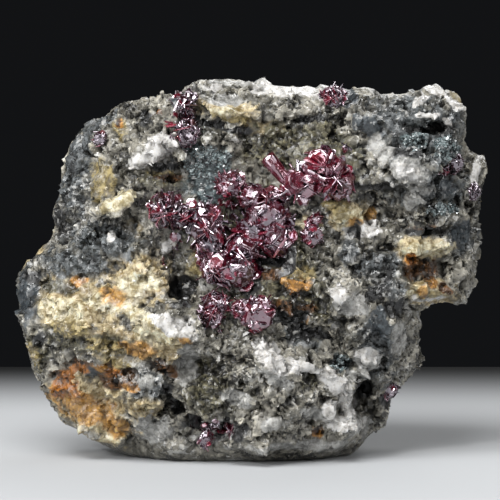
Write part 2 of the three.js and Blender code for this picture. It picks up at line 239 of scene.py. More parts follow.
def keep(mesh, name, values):
    """Keeps a value for every point of a mesh, as an attribute that a material can read."""
    mesh.attributes.new(name, "FLOAT", "POINT").data.foreach_set("value", values.astype(np.float32))


def blurred(values, edges, times):
    """Averages a value at every point with its neighbours, a few times over."""
    count = np.bincount(edges.ravel(), minlength=len(values)).astype(float)
    wide = values.reshape(len(values), -1)
    for _ in range(times):
        total = np.stack([np.bincount(edges[:, 0], column[edges[:, 1]], len(wide))
                          + np.bincount(edges[:, 1], column[edges[:, 0]], len(wide)) for column in wide.T], 1)
        wide = 0.5 * wide + 0.5 * total / count[:, None]
    return wide.reshape(values.shape)


print("points of the matrix solid:", len(points_of(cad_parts["matrix"].data)))


# %% Copy a solid and give it an even skin
SAME_POINT = 1e-6  # metres within which two corners of loose triangles are one point


def apply_modifiers(piece):
    """Applies every modifier of a piece, from the top down."""
    only(piece)
    for modifier in list(piece.modifiers):
        bpy.ops.object.modifier_apply(modifier=modifier.name)


def merged_copy(node, name):
    """A new object with a copy of a solid's mesh, its loose triangles merged into one skin."""
    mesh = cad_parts[node].data.copy()
    mesh.materials.clear()
    piece = bpy.data.objects.new(name, mesh)
    scene.collection.objects.link(piece)
    only(piece)
    bpy.ops.object.mode_set(mode="EDIT")
    bpy.ops.mesh.select_all(action="SELECT")
    bpy.ops.mesh.remove_doubles(threshold=SAME_POINT)
    bpy.ops.object.mode_set(mode="OBJECT")
    return piece


def even_skin(piece, grid, relaxing):
    """Gives a piece an even skin of faces of this size in mm, relaxed a few times."""
    remesh = piece.modifiers.new("even skin", "REMESH")
    remesh.mode = "VOXEL"
    remesh.voxel_size = grid * MM
    relax = piece.modifiers.new("no stairs", "SMOOTH")
    relax.iterations = relaxing
    apply_modifiers(piece)


rock = merged_copy("matrix", "quartz_block")
print("points of its merged copy:", len(rock.data.vertices))


# %% Broken and rolling surfaces
CELL_WARP, WARP_DETAIL = 0.3, 1.7  # how far, and how finely, the walls between facets are bent
LEAN_SPREAD = 7.3  # moves the facets' middles apart, so that neighbours draw different leans


def ramp(value, low, high):
    """0 below low, 1 above high, with an S-shaped rise between."""
    t = np.clip((value - low) / (high - low), 0, 1)
    return t * t * (3 - 2 * t)


def broken(points, size, tilt, jump):
    """Heights of a broken surface: each cell of a warped random pattern is a facet, tilted and shifted."""
    heights = np.empty(len(points))
    for i, point in enumerate(points / size):
        spot = Vector(point)
        spot += CELL_WARP * noise.noise_vector(WARP_DETAIL * spot)
        middle = noise.voronoi(spot, distance_metric="MANHATTAN")[1][0]
        lean = noise.cell_vector(middle * LEAN_SPREAD) - Vector((0.5, 0.5, 0.5))
        heights[i] = size * (tilt * lean.dot(spot - middle) + jump * lean.x)
    return heights - heights.mean()


def rolling(points, size, octaves=3):
    """Smooth noise of about -1 to 1, with bumps of this size and finer ones on them."""
    return np.array([noise.fractal(Vector(point), 1.0, 2.0, octaves) for point in points / size])


def oval(points, x, z, across, up, turn):
    """Distance from an oval's middle as seen from the front: 0 there, 1 on its rim."""
    angle = math.radians(turn)
    dx, dz = points[:, 0] - x, points[:, 2] - z
    return np.hypot((dx * math.cos(angle) + dz * math.sin(angle)) / across,
                    (dz * math.cos(angle) - dx * math.sin(angle)) / up)


print("noise at one point:", noise.noise_vector(Vector((0.5, 0.5, 0.5))))

# %% Front, outline and calm places
FRONT_TURN = (-0.6, 0.0)  # a face turned farther back than the first belongs to the back
FRONT_DEPTH = 6  # mm behind the middle of the block, where the front ends
EDGE_ON = 0.4  # how rough the sides are that make the outline, with 1 for the front and the back
CALM_BEDS = ((-3, 32, 8, 9, 0), (9, 39.5, 6, 4.5, 0), (-11.5, 34.5, 4, 4, 0))  # ovals around the red crystals
CALM_FOOT = 5  # mm above the ground


def surface(mesh):
    """Points, edges, smoothed outward directions, and how far each point belongs to the front face."""
    edges = rows_of(mesh.edges, "vertices", 2, np.int32)
    points = points_of(mesh)
    outward = blurred(normals_of(mesh), edges, 4)
    outward /= np.linalg.norm(outward, axis=1)[:, None]
    front = ramp(-outward[:, 1], *FRONT_TURN) * ramp(-points[:, 1], -FRONT_DEPTH, 0)
    return points, edges, outward, front


def facing(outward):
    """1 on faces turned to the front or the back, less on those seen edge-on, which make the outline."""
    return EDGE_ON + (1 - EDGE_ON) * ramp(np.abs(outward[:, 1]), 0.0, 0.6)


def bed_distance(points):
    """Distance to the nearest bed of red crystals: 0 in its middle, 1 on its rim."""
    return np.min([oval(points, *row) for row in CALM_BEDS], axis=0)


def calmness(points, front):
    """1 where the rock may break freely, less around the red crystals and at the foot."""
    near_bed = ramp(1.3 - bed_distance(points), 0, 0.4)
    return (1 - 0.6 * near_bed * front) * ramp(points[:, 2], 0, CALM_FOOT)


print("calm beds:", len(CALM_BEDS))

# %% [markdown]
# ## Which mineral is where
# The block is mostly grey quartz. White quartz makes the ledges, cream and yellow clayey quartz the left,
# iron has stained the lower left and the pocket at the right, and dark patches fill the clefts: dark sulphide
# dust, and painted shade where shadow falls in clefts, gaps and under knobs. The patches could be painted
# with a brush; a list of ovals on the front face is easier to correct. Noise tears the ovals' rims, and the
# share of each mineral at every point is kept as an attribute that the material can read. The back has no
# list: there, noise alone decides.

# %% Mineral patches: across, up, half width, half height in mm, turn in degrees
PATCHES = {
    "clay": [
        (-24, 22, 7.5, 4, -10), (-16, 25, 5, 4, 10), (-18, 17, 5, 2.5, -8), (-12, 17, 4, 3, -20),
        (-22, 8, 6, 5, -15), (-14.5, 7.5, 2.5, 1.8, 0), (-3.5, 48.5, 4, 1.2, -5), (13, 34, 3, 2, 0),
        (2, 45.6, 4, 1.2, -5), (-16.3, 31.8, 1.6, 1.2, 0), (24, 29.5, 3.5, 2, 0), (24.5, 23.5, 3.5, 2, 0),
    ],
    # Olive is dull olive rock; the broad ovals around the red crystals also paint the shade of the hollow
    # they sit in.
    "olive": [
        (-29.5, 15, 1.5, 3, 0), (-19, 16.5, 5, 1.5, -10), (-1.5, 29, 8, 8, 0), (6, 22.5, 6, 3, -10),
        (5, 26, 4, 1.5, -10), (7, 43, 9.5, 3.5, -10), (-12, 39, 3.5, 1.2, 0), (-6, 11, 3, 4, 20),
        (8, 11.5, 1.2, 1, 0), (-26.5, 24, 3, 1, -8), (5.5, 29, 2, 4, 0), (-25, 17, 4, 1.5, -10),
    ],
    "slate": [
        (-25, 40, 3, 8, 0), (-24, 27, 5, 2, 0), (-21.5, 12.5, 1.5, 1, 0), (-31, 22.5, 2, 4, 0),
        (22.5, 45.5, 7.5, 5.5, 0), (29, 30.5, 2.5, 2.5, 0), (17.5, 16, 3.5, 5, 0), (-20, 30.5, 6, 2.5, 0),
        (-22, 47.5, 3.5, 2.5, 30), (24.5, 37.5, 5.5, 3, 0), (7, 17.6, 3, 1.5, -15), (17, 27, 3.5, 2.2, -10),
        (20, 23.8, 2, 1.4, 0), (13.5, 29, 1.6, 1.5, 0), (-14.5, 11.5, 3, 2.3, 0),
    ],
    # Dark patches are partly dark sulphide and partly painted shade, put where shadow falls in clefts, gaps
    # and under knobs.
    "dark_sulphide_and_shade": [
        (-26.5, 32.5, 1.5, 2, 0), (-30, 25, 1.6, 1, 10), (-9.2, 23.8, 2, 1.6, 20), (2.5, 28, 2.2, 1.5, -10),
        (-10.5, 8, 0.7, 3, 20), (-7, 5.5, 3, 1.2, -20), (-3.5, 5, 3.5, 1.5, 0), (15.5, 9.5, 1.5, 1.5, 0),
        (22, 42.5, 2.2, 0.7, 0), (24.5, 45.5, 3, 0.7, 0), (17.5, 37.8, 3, 0.7, 0), (14, 31.5, 0.8, 1.6, -20),
        (8, 17.8, 2.5, 1.1, -10), (5, 29, 1.3, 2.8, 0), (0, 24, 1.5, 1.1, 0), (-2.5, 28, 1.6, 2.2, 0),
        (6.5, 37.5, 2.7, 1, 10), (-14.5, 47, 1, 1, 0), (20, 21.5, 1.6, 1.4, 0), (27, 39.5, 1.4, 0.7, 0),
        (4, 20, 3.8, 1, 0), (8, 47, 2.2, 0.7, 10), (-11, 40.5, 2, 0.7, 0), (-1.5, 45.5, 2.7, 0.5, -8),
        (-6, 46.5, 3.5, 0.5, -15), (24, 31.5, 2.7, 0.8, 0), (17, 23.5, 2, 1, 0), (-29, 16.5, 0.8, 1.2, 0),
        (18, 26, 1.5, 1, 0), (19, 8, 1.5, 1, -30),
    ],
    "white": [
        (-12, 43.5, 2.2, 1.6, 25), (-14.5, 41.5, 1.8, 1, 20), (5, 51, 5, 0.8, -2), (-5, 51, 1.6, 0.5, 0),
        (11, 50.5, 1.4, 1, 0), (-9.2, 19, 2.4, 1.4, -25), (-12, 20.2, 2, 0.9, -20),
        (2.4, 15.2, 2.9, 1.3, -42), (15.8, 14.9, 1.7, 0.9, -10), (10.8, 7.6, 1.4, 1.1, 0),
        (-11.2, 29.6, 0.8, 1.1, -30), (7, 13.7, 2.3, 0.9, -15), (9.5, 12.7, 1.6, 0.7, -35),
        (11.8, 11.1, 2.8, 1.1, -50), (21.5, 40, 1.5, 1.3, -20), (13.5, 8, 2, 1.2, -70),
        (12.5, 5.5, 2.5, 1, -10), (23.5, 49.5, 1.2, 0.5, 45), (25.5, 51, 1.6, 0.5, 0),
        (27.5, 49.5, 1.2, 0.5, -45), (29, 48.5, 1, 0.7, 0), (24.5, 47.5, 1.6, 0.5, 0),
        (27, 46.5, 1, 0.3, -45), (31.5, 40, 0.7, 2.2, -15), (12, 23.5, 1.4, 1, 0), (15.5, 32, 2, 1, 0),
        (24.5, 22.5, 2.7, 0.5, 0), (-19, 31, 0.5, 0.8, 0),
    ],
    "pale": [
        (9.5, 7, 2.5, 1, 0), (14, 5, 2, 1.4, 0), (21.5, 40.5, 2.2, 2, -20), (22, 36, 1, 1.6, 0),
        (-13.5, 4.5, 2.5, 2, 0), (-6, 3.5, 2, 1, 0), (14.6, 21.8, 1.6, 1.3, 0), (-8.3, 15.6, 1.5, 1.3, 0),
        (13.5, 22.5, 2.5, 1.4, 0), (-2, 9.5, 2.2, 1, -15), (3.2, 6, 1.8, 0.7, 10), (17.5, 43, 2, 1.4, -20),
        (20.2, 17, 0.9, 2.6, 0), (16, 14, 2.1, 1.5, 0), (6.5, 2.5, 8, 0.7, 0), (-3.5, 49.5, 2.7, 0.7, 0),
        (13.5, 12, 1, 0.7, 0), (-14, 11.5, 1.2, 1.2, 0), (0.5, 52, 8, 0.8, -2), (3, 12.5, 2.5, 1.2, -30),
        (22.5, 38, 2.4, 1.1, -20), (-9, 13, 2, 1.5, -30),
    ],
    "cream": [
        (-18, 35.9, 2.9, 0.8, 30), (-25.5, 21.3, 3.3, 1.3, -8), (-25.5, 20.5, 3, 1.2, -8),
        (-15.5, 24.8, 3, 1.6, 15), (-20, 22, 2.2, 1, -10), (-20.5, 5.5, 4.5, 1.8, -20),
        (-13, 18.5, 3, 1.6, -15), (-15.5, 20.9, 3.5, 1.4, -15), (13, 34, 2.2, 1.4, 0), (24, 29, 2.5, 1, 0),
        (23.5, 23, 3, 0.8, 0), (-4, 48, 2.2, 0.7, 0), (8, 33, 2, 0.8, 0), (-8, 26.5, 1, 1.4, 0),
        (26.5, 29.2, 1.6, 0.9, 0),
    ],
    "yellow": [
        (-20.3, 38.6, 1.5, 2.4, 10), (-18, 45.6, 1, 1.3, 0), (12, 35, 2, 1.2, 0), (-7.5, 27.5, 1, 1.4, 0),
        (-12, 39.5, 2, 0.7, 0), (5.5, 26.5, 2.5, 0.7, -10), (-24.5, 18.5, 2.7, 1, -10),
        (-20, 16.5, 3, 0.8, -15), (-30, 14.5, 1, 1.6, 0), (-18, 13.8, 2, 0.6, -20), (-2, 47, 2, 0.4, -10),
        (24.5, 23, 2, 0.5, 0),
    ],
    "honey": [
        (-18.5, 23, 1.6, 1.2, 0), (-22.5, 7, 4, 2, -15), (-26, 9, 2.2, 1.5, 0), (-9, 17.5, 1.2, 0.5, -25),
        (-15, 16, 2.2, 1, -20), (-18.5, 5, 2.5, 1.4, -15), (16.5, 34, 0.7, 0.7, 0), (6, 24.7, 1.7, 0.8, -10),
        (23.5, 23.5, 0.8, 0.7, 0), (14, 33, 1, 0.7, 0),
    ],
    "ochre": [
        (-18, 46, 0.5, 0.8, 0), (-23.5, 25, 1.4, 0.7, 0), (-25.5, 9.5, 2.2, 1, 0), (-19.5, 13, 2.2, 0.8, -20),
        (6, 24.5, 1.8, 1, 0), (9, 4.5, 1, 0.8, 0), (22, 27.5, 1, 1, 0), (6, 20, 2, 0.7, 0),
        (25, 24.5, 0.8, 0.7, 0), (-16.5, 11, 1.5, 0.7, -25),
    ],
    "rust": [
        (-25.5, 11, 2, 1.6, -20), (-23.5, 12.8, 1.4, 0.6, -10), (-26.5, 9, 1, 0.8, 0),
        (-18.5, 12.5, 1, 0.6, 0), (6, 23.5, 1, 0.5, 0), (9, 4.5, 0.5, 0.4, 0), (22, 28, 0.7, 0.7, 0),
    ],
    "brown": [
        (24, 26.5, 2.5, 1.4, 0), (-19, 11.5, 2, 1.2, 0), (26.5, 24, 1, 0.8, 0), (-24, 13.5, 1.5, 0.7, 0),
        (5.5, 21.5, 3, 1, 0), (2.5, 26, 2, 0.8, 0), (-12, 13.5, 2, 1, -25), (-9.5, 24, 1.4, 1, 0),
        (24, 32, 2.2, 0.7, 0), (-11.5, 39, 2.5, 0.5, 0), (-13, 47.5, 0.8, 0.4, 0), (-16.8, 12, 1.6, 0.9, -20),
        (-18.2, 46.3, 0.3, 0.5, 0), (27, 23.5, 0.8, 0.6, 0),
    ],
    "druse": [
        (-6, 40, 3, 4.5, 10), (22, 44, 1.8, 1, -8), (27, 43, 2.2, 1.5, 0), (26, 34.5, 2.3, 1, 0),
        (12.5, 14, 1.6, 1.2, -30),
    ],
    "bluegrey": [
        (13.5, 50, 1.2, 1.5, 0), (16, 46, 2.5, 1.2, -28), (27, 37.5, 1.5, 1, 0), (-31, 22, 1.6, 3.5, 0),
        (29, 31, 1.6, 2, 0), (-21.5, 12.5, 1.2, 0.8, 0), (-9.5, 49.5, 1.4, 1, 0), (17.5, 19.5, 1.4, 2, 0),
    ],
}
BACK_SHARE = {  # how much of the back each mineral covers: nothing below about -0.3, most of it above 0.8
    "clay": 0.25, "olive": 0.2, "slate": 0.3, "dark_sulphide_and_shade": -0.1, "white": 0.05, "pale": 0.3, "cream": 0.1,
    "yellow": -0.05, "honey": -0.1, "ochre": -0.05, "rust": -0.1, "brown": -0.15, "druse": -0.4,
    "bluegrey": -0.1,
}
print("mineral patches:", sum(len(rows) for rows in PATCHES.values()))

# %% Share of each mineral
TEARING = {2.5: 0.45, 1.3: 0.4}  # mm across a bump of the noise that tears a rim, and its strength
BACK_PATCH = 11  # mm across a patch on the back
MASSIVE = {"white": 1.0, "pale": 1.0, "bluegrey": 1.0, "dark_sulphide_and_shade": 0.6}  # smooth, solid quartz and sulphide


def torn_rims(points):
    """Noise that tears the rims of mineral patches and of steps."""
    return sum(strength * rolling(points, size, 3) for size, strength in TEARING.items())


def mineral_share(mineral, points, front, torn):
    """Share of a mineral at every point: its ovals with torn rims on the front, noise alone behind."""
    nearest = np.min([oval(points, *row) for row in PATCHES[mineral]], axis=0)
    listed = ramp(1.5 - nearest + torn, 0.0, 0.9)
    number = list(PATCHES).index(mineral)
    wild = ramp(rolling(points + 40 * number, BACK_PATCH, 3) + 1.2 * BACK_SHARE[mineral], 0.45, 0.75)
    return front * listed + (1 - front) * wild


def strongest(shares, weights):
    """The largest of some minerals' shares at every point, each counted with its weight."""
    return np.maximum.reduce([weight * shares[mineral] for mineral, weight in weights.items()])


print("smooth minerals:", ", ".join(MASSIVE))

# %% Steps of the front, and how each size of facet breaks
RELIEF = [  # across, up, half width, half height in mm, turn in degrees, and mm up or down
    (23.5, 49.5, 1.2, 0.5, 45, 0.6), (25.5, 51, 1.6, 0.5, 0, 0.6), (27.5, 49.5, 1.2, 0.5, -45, 0.6),
    (29, 48.5, 0.9, 0.7, 0, 0.7), (24.5, 47.5, 1.6, 0.5, 0, 0.6), (26, 49.5, 0.8, 0.5, 0, -0.8),
    (-9.5, 18.5, 2.7, 1.9, -25, 1.4), (-18, 35.9, 3.2, 1, 35, 1.2), (2.4, 15.2, 2.9, 1.3, -42, 1.4),
    (7, 13.7, 2.3, 0.9, -15, 1), (9.5, 12.7, 1.7, 0.8, -35, 1), (11.8, 11.1, 2.8, 1.1, -50, 1.3),
    (16, 46, 2.7, 1.2, -30, 0.9), (21, 40, 2.5, 2.2, -20, 1.2), (-13, 43.5, 2.7, 2, 25, 0.9),
    (22, 36, 1, 1.5, 0, 0.9), (22, 44.5, 1.8, 1, -8, 1), (27, 43, 2, 1.5, 0, 1), (26, 34.5, 2.5, 1, 0, 1),
    (11.5, 34.5, 2.3, 1.4, 0, 0.8), (-21, 37.5, 1.2, 2, 0, 0.9), (14.5, 11.5, 0.8, 0.7, 0, 0.7),
    (-6, 40, 2.7, 4.5, 10, 0.5), (-9.2, 23.8, 2.3, 1.8, 20, -1.5), (2.5, 28, 2, 1.4, -10, -1.4),
    (-10.5, 8, 1, 3.8, 12, -1.2), (22.5, 42.5, 2, 0.8, 0, -1.2), (15.3, 9.5, 1, 1.6, 0, -1.5),
    (-4.5, 5, 2.5, 1, 0, -1.3), (-2.5, 28, 1, 1.6, 0, -0.8), (-29.7, 25, 1.4, 0.8, 10, -1),
    (-13.5, 13.5, 2, 1, -20, -0.8), (6.5, 19, 3.5, 1, -10, -1.2), (11, 17, 2.7, 1, -25, -1),
    (14, 31.5, 0.8, 2, -20, -0.8), (24.5, 45.5, 3, 0.6, 0, -1), (15, 8.5, 1.1, 2, 10, -1.2),
]
BODIES = {  # mm that a mineral stands out of the rock, or lies back
    "white": 0.8, "pale": 0.5, "cream": 0.6, "honey": 0.3, "bluegrey": 0.4, "dark_sulphide_and_shade": -0.8, "brown": -0.5,
}
FACETS = {  # mm across, how far a facet tilts, and its step up or down as a share of its size
    "blocks": (6.0, 0.7, 0.32), "lumps": (3.0, 0.9, 0.36),
    "chips": (2.1, 1.0, 0.36), "crumbs": (1.1, 0.9, 0.26),
}
print("steps up and down:", len(RELIEF), "sizes of facet:", len(FACETS))

# %% Blocks and steps
BLOCK_GRID = 0.6  # mm between points while the rock is broken into blocks
CRACK_SPACING, CRACK_DEPTH, CRACK_WIDTH = 9, 0.6, 0.03  # mm, mm, and a share of the noise
SUNK, SUNK_ON_TOP = 0.4, 0.35  # mm that the skin goes in, and more on top: the facets stand out again
even_skin(rock, BLOCK_GRID, 3)
coarse, edges, outward, front = surface(rock.data)
torn = torn_rims(coarse)
steps = sum(rise * ramp(1.3 - oval(coarse, *row) + torn, 0, 0.6) for *row, rise in RELIEF) * front
calm = calmness(coarse, front)
shares = {name: mineral_share(name, coarse, front, torn) for name in PATCHES}
bodies = sum(rise * ramp(shares[name], 0.3, 0.7) for name, rise in BODIES.items()) * front
blocks = broken(coarse, *FACETS["blocks"])
lumps = broken(coarse, *FACETS["lumps"]) * (1 - 0.8 * strongest(shares, MASSIVE))
cracks = -CRACK_DEPTH * np.exp(-(rolling(coarse, CRACK_SPACING, 2) / CRACK_WIDTH) ** 2)
sunk = SUNK + SUNK_ON_TOP * ramp(outward[:, 2], 0.3, 0.8)
lift = ((blocks + lumps + bodies + cracks) * facing(outward) - sunk) * calm + steps * ramp(coarse[:, 2], 0, 4)
moved = coarse + outward * lift[:, None]
moved[:, 2] = np.maximum(moved[:, 2], 0)
set_points(rock.data, moved)
print("blocks", np.ptp(blocks).round(2), "mm, lumps", np.ptp(lumps).round(2), "mm")

# %% A finer front
FACET_GRID = 0.68  # mm between points of the finished rock, halved on the front
FINE_DEPTH = 2  # mm behind the middle of the block, where the fine front ends
even_skin(rock, FACET_GRID, 1)
for polygon in rock.data.polygons:
    polygon.select = polygon.normal.y < 0 and polygon.center.y < FINE_DEPTH * MM
only(rock)
bpy.ops.object.mode_set(mode="EDIT")
bpy.ops.mesh.select_mode(type="FACE")
bpy.ops.mesh.subdivide(number_cuts=1)
bpy.ops.object.mode_set(mode="OBJECT")
triangles = sum(len(polygon.vertices) - 2 for polygon in rock.data.polygons)
print("skin points:", len(rock.data.vertices), "triangles:", triangles)

# %% Minerals on the finished skin
CLEANNESS = {  # how free each mineral is of specks, dust and grain
    "honey": 0.95, "cream": 0.85, "white": 0.8, "pale": 0.75, "yellow": 0.75, "clay": 0.75,
}
SOFT = {"cream": 1.0, "yellow": 1.0, "honey": 1.0, "clay": 1.0}  # waxy, rounded by weather
TINTS = {"olive": 0.85, "slate": 0.85}  # tints let some of the grey show through
skin, edges, outward, front = surface(rock.data)
torn = torn_rims(skin)
minerals = {name: mineral_share(name, skin, front, torn) for name in PATCHES}
for tint, strength in TINTS.items():
    minerals[tint] *= strength
massive = strongest(minerals, MASSIVE)
clean = strongest(minerals, CLEANNESS)
soft = strongest(minerals, SOFT)
print({mineral: round(float(share.mean()), 2) for mineral, share in minerals.items()})

# %% Facets and pits
PIT_SIZE, PIT_DEPTH = 1.3, 0.35  # mm
THORN = (0.4, 0.9)  # mm that a point sticks out where it begins to be pulled back, and where it is wholly
calm = calmness(skin, front)
roughness = (0.8 + 0.2 * front) * facing(outward)
chips = broken(skin, *FACETS["chips"]) * (1 - 0.5 * massive * front) * (1 - 0.45 * soft)
chips = chips * (1 - 0.4 * minerals["bluegrey"])
crumbs = broken(skin, *FACETS["crumbs"]) * (1 - 0.9 * massive * front) * (1 - 0.75 * soft)
pits = -PIT_DEPTH * ramp(rolling(skin, PIT_SIZE, 2), 0.48, 0.75) * (1 - 0.8 * massive)
shaped = skin + outward * (((chips + crumbs) * roughness + pits) * calm)[:, None]
calmed = blurred(shaped, edges, 5)
sticking_out = ((shaped - calmed) * outward).sum(1)
shaped += ramp(sticking_out, *THORN)[:, None] * (calmed - shaped)
shaped[:, 2] = np.maximum(shaped[:, 2], 0)
set_points(rock.data, shaped)
print("thorns pulled back:", int((sticking_out > THORN[0]).sum()), "points")

# %% Keep the shares, and the masks for painted light and shade, for the material
SHARP_EDGE = 38  # degrees between two faces, above which their edge stays sharp
hollowness = ((blurred(shaped, edges, 7) - shaped) * outward).sum(1)
# Masks for painted light and shade: the material darkens the colour in hollows and deep clefts and lightens
# it on ridges, over the shade that the relief casts itself.
minerals["hollow"] = ramp(hollowness, 0.0, 0.35)
minerals["ridge"] = ramp(-hollowness, 0.03, 0.35)
minerals["cleft"] = ramp(((blurred(shaped, edges, 60) - shaped) * outward).sum(1), 0.1, 1.0)
minerals["massive"] = massive
minerals["clean"] = clean
minerals["tone"] = np.full(len(skin), 0.5)
for mineral, share in minerals.items():
    keep(rock.data, mineral, share)
only(rock)
bpy.ops.object.shade_smooth_by_angle(angle=math.radians(SHARP_EDGE))
print("hollow from", hollowness.min().round(2), "to", hollowness.max().round(2), "mm")

# %% [markdown]
# ## The rock's material
# Vein quartz is glassy, cloudy grey to white, with dark specks of sulphide. Iron oxides stain it yellow,
# ochre and rust. Noise alone could colour it, but then colour and shape would not agree. So the material
# starts from two greys, lays each mineral over them where its attribute is strong, then adds the grains,
# the specks, a painted highlight on the ridges, and painted shade with dark dust in the hollows and
# clefts, and gives each grain its own polish.

# %% Stained vein quartz
BLOTCH = 1.1  # mm, size of the blotches that break a stain's rim
CLOUD = 3  # mm, size of the clouds in the grey quartz
SWIRL, SWING = 1.2, 0.45  # mm across a swirl, and mm that it pulls the patterns aside
MINERALS = {  # light and dark tone of each, and how far blotches tear its rim
    "clay": ("#b1a383", "#6f5f3e", 1.0),
    # Olive is dark partly as painted shade of the hollow around the red crystals.
    "olive": ("#5e5a48", "#26241c", 1.0),
    "slate": ("#56595a", "#232626", 1.0),
    "bluegrey": ("#3f4447", "#2e3235", 0.5),
    "pale": ("#9f9e9a", "#706f6b", 0.5),
    "cream": ("#c6bda2", "#887c5b", 0.8),
    "white": ("#c9c7c4", "#9d9a95", 0.35),
    "yellow": ("#93855d", "#5a5038", 1.0),
    "honey": ("#b98f52", "#7e5d32", 1.0),
    "ochre": ("#ab7c40", "#684823", 1.0),
    "brown": ("#573c24", "#1e130b", 1.0),
    "rust": ("#975f26", "#553314", 1.0),
    "druse": ("#4c5759", "#1b2224", 1.0),
    # Near-black: dark sulphide, and painted shade in clefts and gaps.
    "dark_sulphide_and_shade": ("#333333", "#0f0f0f", 1.0),
}
# Vein quartz as it broke: each grain glints on its own, and light sinks into clean parts and softens them.
quartz, tree, shader = new_material("stained_vein_quartz")
place = add(tree, "ShaderNodeTexCoord").outputs["Object"]
swirl = add(tree, "ShaderNodeTexNoise", {"Vector": place, "Scale": 1 / (SWIRL * MM), "Detail": 3.0})
swing = on_vectors(tree, "MULTIPLY", swirl.outputs["Color"], (SWING * MM,) * 3)
warped = on_vectors(tree, "ADD", place, swing)
blotch = add(tree, "ShaderNodeTexNoise", {
    "Vector": place, "Scale": 1 / (BLOTCH * MM), "Detail": 5.0, "Roughness": 0.7}).outputs["Fac"]
cloud = add(tree, "ShaderNodeTexNoise", {
    "Vector": place, "Scale": 1 / (CLOUD * MM), "Detail": 6.0, "Roughness": 0.7}).outputs["Fac"]
veil = spanned(tree, cloud, (0.36, 0.66))
colour = mixed(tree, veil, linear("#38362f"), linear("#99958a"))
light_side = spanned(tree, blotch, (0.42, 0.56))
for mineral, (light_tone, dark_tone, tearing) in MINERALS.items():
    broken_rim = on_numbers(tree, "MULTIPLY_ADD", blotch, tearing, attribute(tree, mineral))
    rim, half_width = 0.52 + 0.5 * tearing, 0.08 + 0.2 * tearing
    reach = spanned(tree, broken_rim, (rim - half_width, rim + half_width))
    own = mixed(tree, light_side, linear(dark_tone), linear(light_tone))
    colour = mixed(tree, reach, colour, own)
print("minerals laid over the grey:", len(MINERALS))

# %% Grains and flecks over the stains
GRAIN_SIZES = {0.95: 0.36, 0.45: 0.24}  # mm across a quartz grain, and how far its tone may differ
CLUSTER = 5  # mm across a cluster of flecks
FLECKS = {  # size in mm, noise value from which it shows, strength, colour
    "sugary_white": (0.9, 0.62, 0.45, "#c9c8c4"),
    "sulphide": (0.8, 0.6, 0.9, "#171614"),
}
clean_share = attribute(tree, "clean")
murky = spanned(tree, clean_share, end=(1.0, 0.3))
for size, spread in GRAIN_SIZES.items():
    grain_cells = add(tree, "ShaderNodeTexVoronoi", {
        "Vector": warped, "Scale": 1 / (size * MM)}).outputs["Color"]
    grain_picks = add(tree, "ShaderNodeSeparateColor", {"Color": grain_cells})
    grain_tone = spanned(tree, grain_picks.outputs["Red"], end=(1 - spread, 1 + spread))
    kept_tone = add(tree, "ShaderNodeMix", {"Factor": murky, "A": 1.0, "B": grain_tone}).outputs["Result"]
    colour = on_vectors(tree, "MULTIPLY", colour, kept_tone)
for seed, (size, start, strength, fleck_colour) in enumerate(FLECKS.values()):
    field = add(tree, "ShaderNodeTexNoise", {
        "Vector": warped, "W": 3.0 + seed, "Scale": 1 / (size * MM), "Detail": 3.0, "Roughness": 0.6},
        noise_dimensions="4D")
    cluster = add(tree, "ShaderNodeTexNoise", {
        "Vector": place, "W": 7.0 + seed, "Scale": 1 / (CLUSTER * MM)}, noise_dimensions="4D")
    both = on_numbers(tree, "ADD", field.outputs["Fac"], cluster.outputs["Fac"])
    fleck = spanned(tree, both, (start + 0.5, start + 0.56), (0.0, strength))
    colour = mixed(tree, on_numbers(tree, "MULTIPLY", fleck, murky), colour, linear(fleck_colour))
print("sizes of grain:", len(GRAIN_SIZES), "kinds of fleck:", len(FLECKS))

# %% Dark specks
SPECK = 0.6  # mm between the dark specks of sulphide
SPECK_SHARE = 0.22  # share of the places for a speck that hold one
specks = add(tree, "ShaderNodeTexVoronoi", {"Vector": warped, "Scale": 1 / (SPECK * MM)})
speck_picks = add(tree, "ShaderNodeSeparateColor", {"Color": specks.outputs["Color"]})
near = spanned(tree, specks.outputs["Distance"], (0.22, 0.3), (0.85, 0.0))
picked = on_numbers(tree, "GREATER_THAN", speck_picks.outputs["Red"], 1 - SPECK_SHARE)
speck = on_numbers(tree, "MULTIPLY", near, picked)
colour = mixed(tree, on_numbers(tree, "MULTIPLY", speck, murky), colour, linear("#1b1917"))
print("a place for a speck every", SPECK, "mm")

# %% Painted highlight on ridges, painted shade in clefts and hollows, and dust
BRIGHTEST = (0.52, 0.51, 0.495)  # linear: no part of the rock is as white as paper
# The ridge factor is a painted highlight and the cleft factor a painted shade; the tone factor is each
# grain's own tone.
PAINTED_LIGHT_AND_TONE = {  # factor on the colour where the attribute is 0, and where it is 1
    "ridge": (0.88, 1.12), "tone": (0.75, 1.25), "cleft": (1.1, 0.28),
}
for name, factors in PAINTED_LIGHT_AND_TONE.items():
    colour = on_vectors(tree, "MULTIPLY", colour, spanned(tree, attribute(tree, name), end=factors))
# Painted shade in the hollows: the colour is darkened there, and near-black dust is laid in, partly dust and
# partly painted shade.
hollow = attribute(tree, "hollow")
murky_hollow = on_numbers(tree, "MULTIPLY", hollow, murky)
colour = on_vectors(tree, "MULTIPLY", colour, spanned(tree, murky_hollow, (0.2, 0.9), (1.0, 0.45)))
dust_and_shade = on_numbers(tree, "MULTIPLY", spanned(tree, hollow, (0.3, 0.95), (0.0, 0.8)), murky)
colour = mixed(tree, dust_and_shade, colour, linear("#1a1815"))
colour = on_vectors(tree, "MINIMUM", colour, BRIGHTEST)
print("nodes so far:", len(tree.nodes))


# %% Gloss and fine relief of the quartz
GRIT, GRIT_HEIGHT = 0.35, 0.2  # mm
LIGHT_DEPTH = 0.4  # mm that light sinks into clean quartz


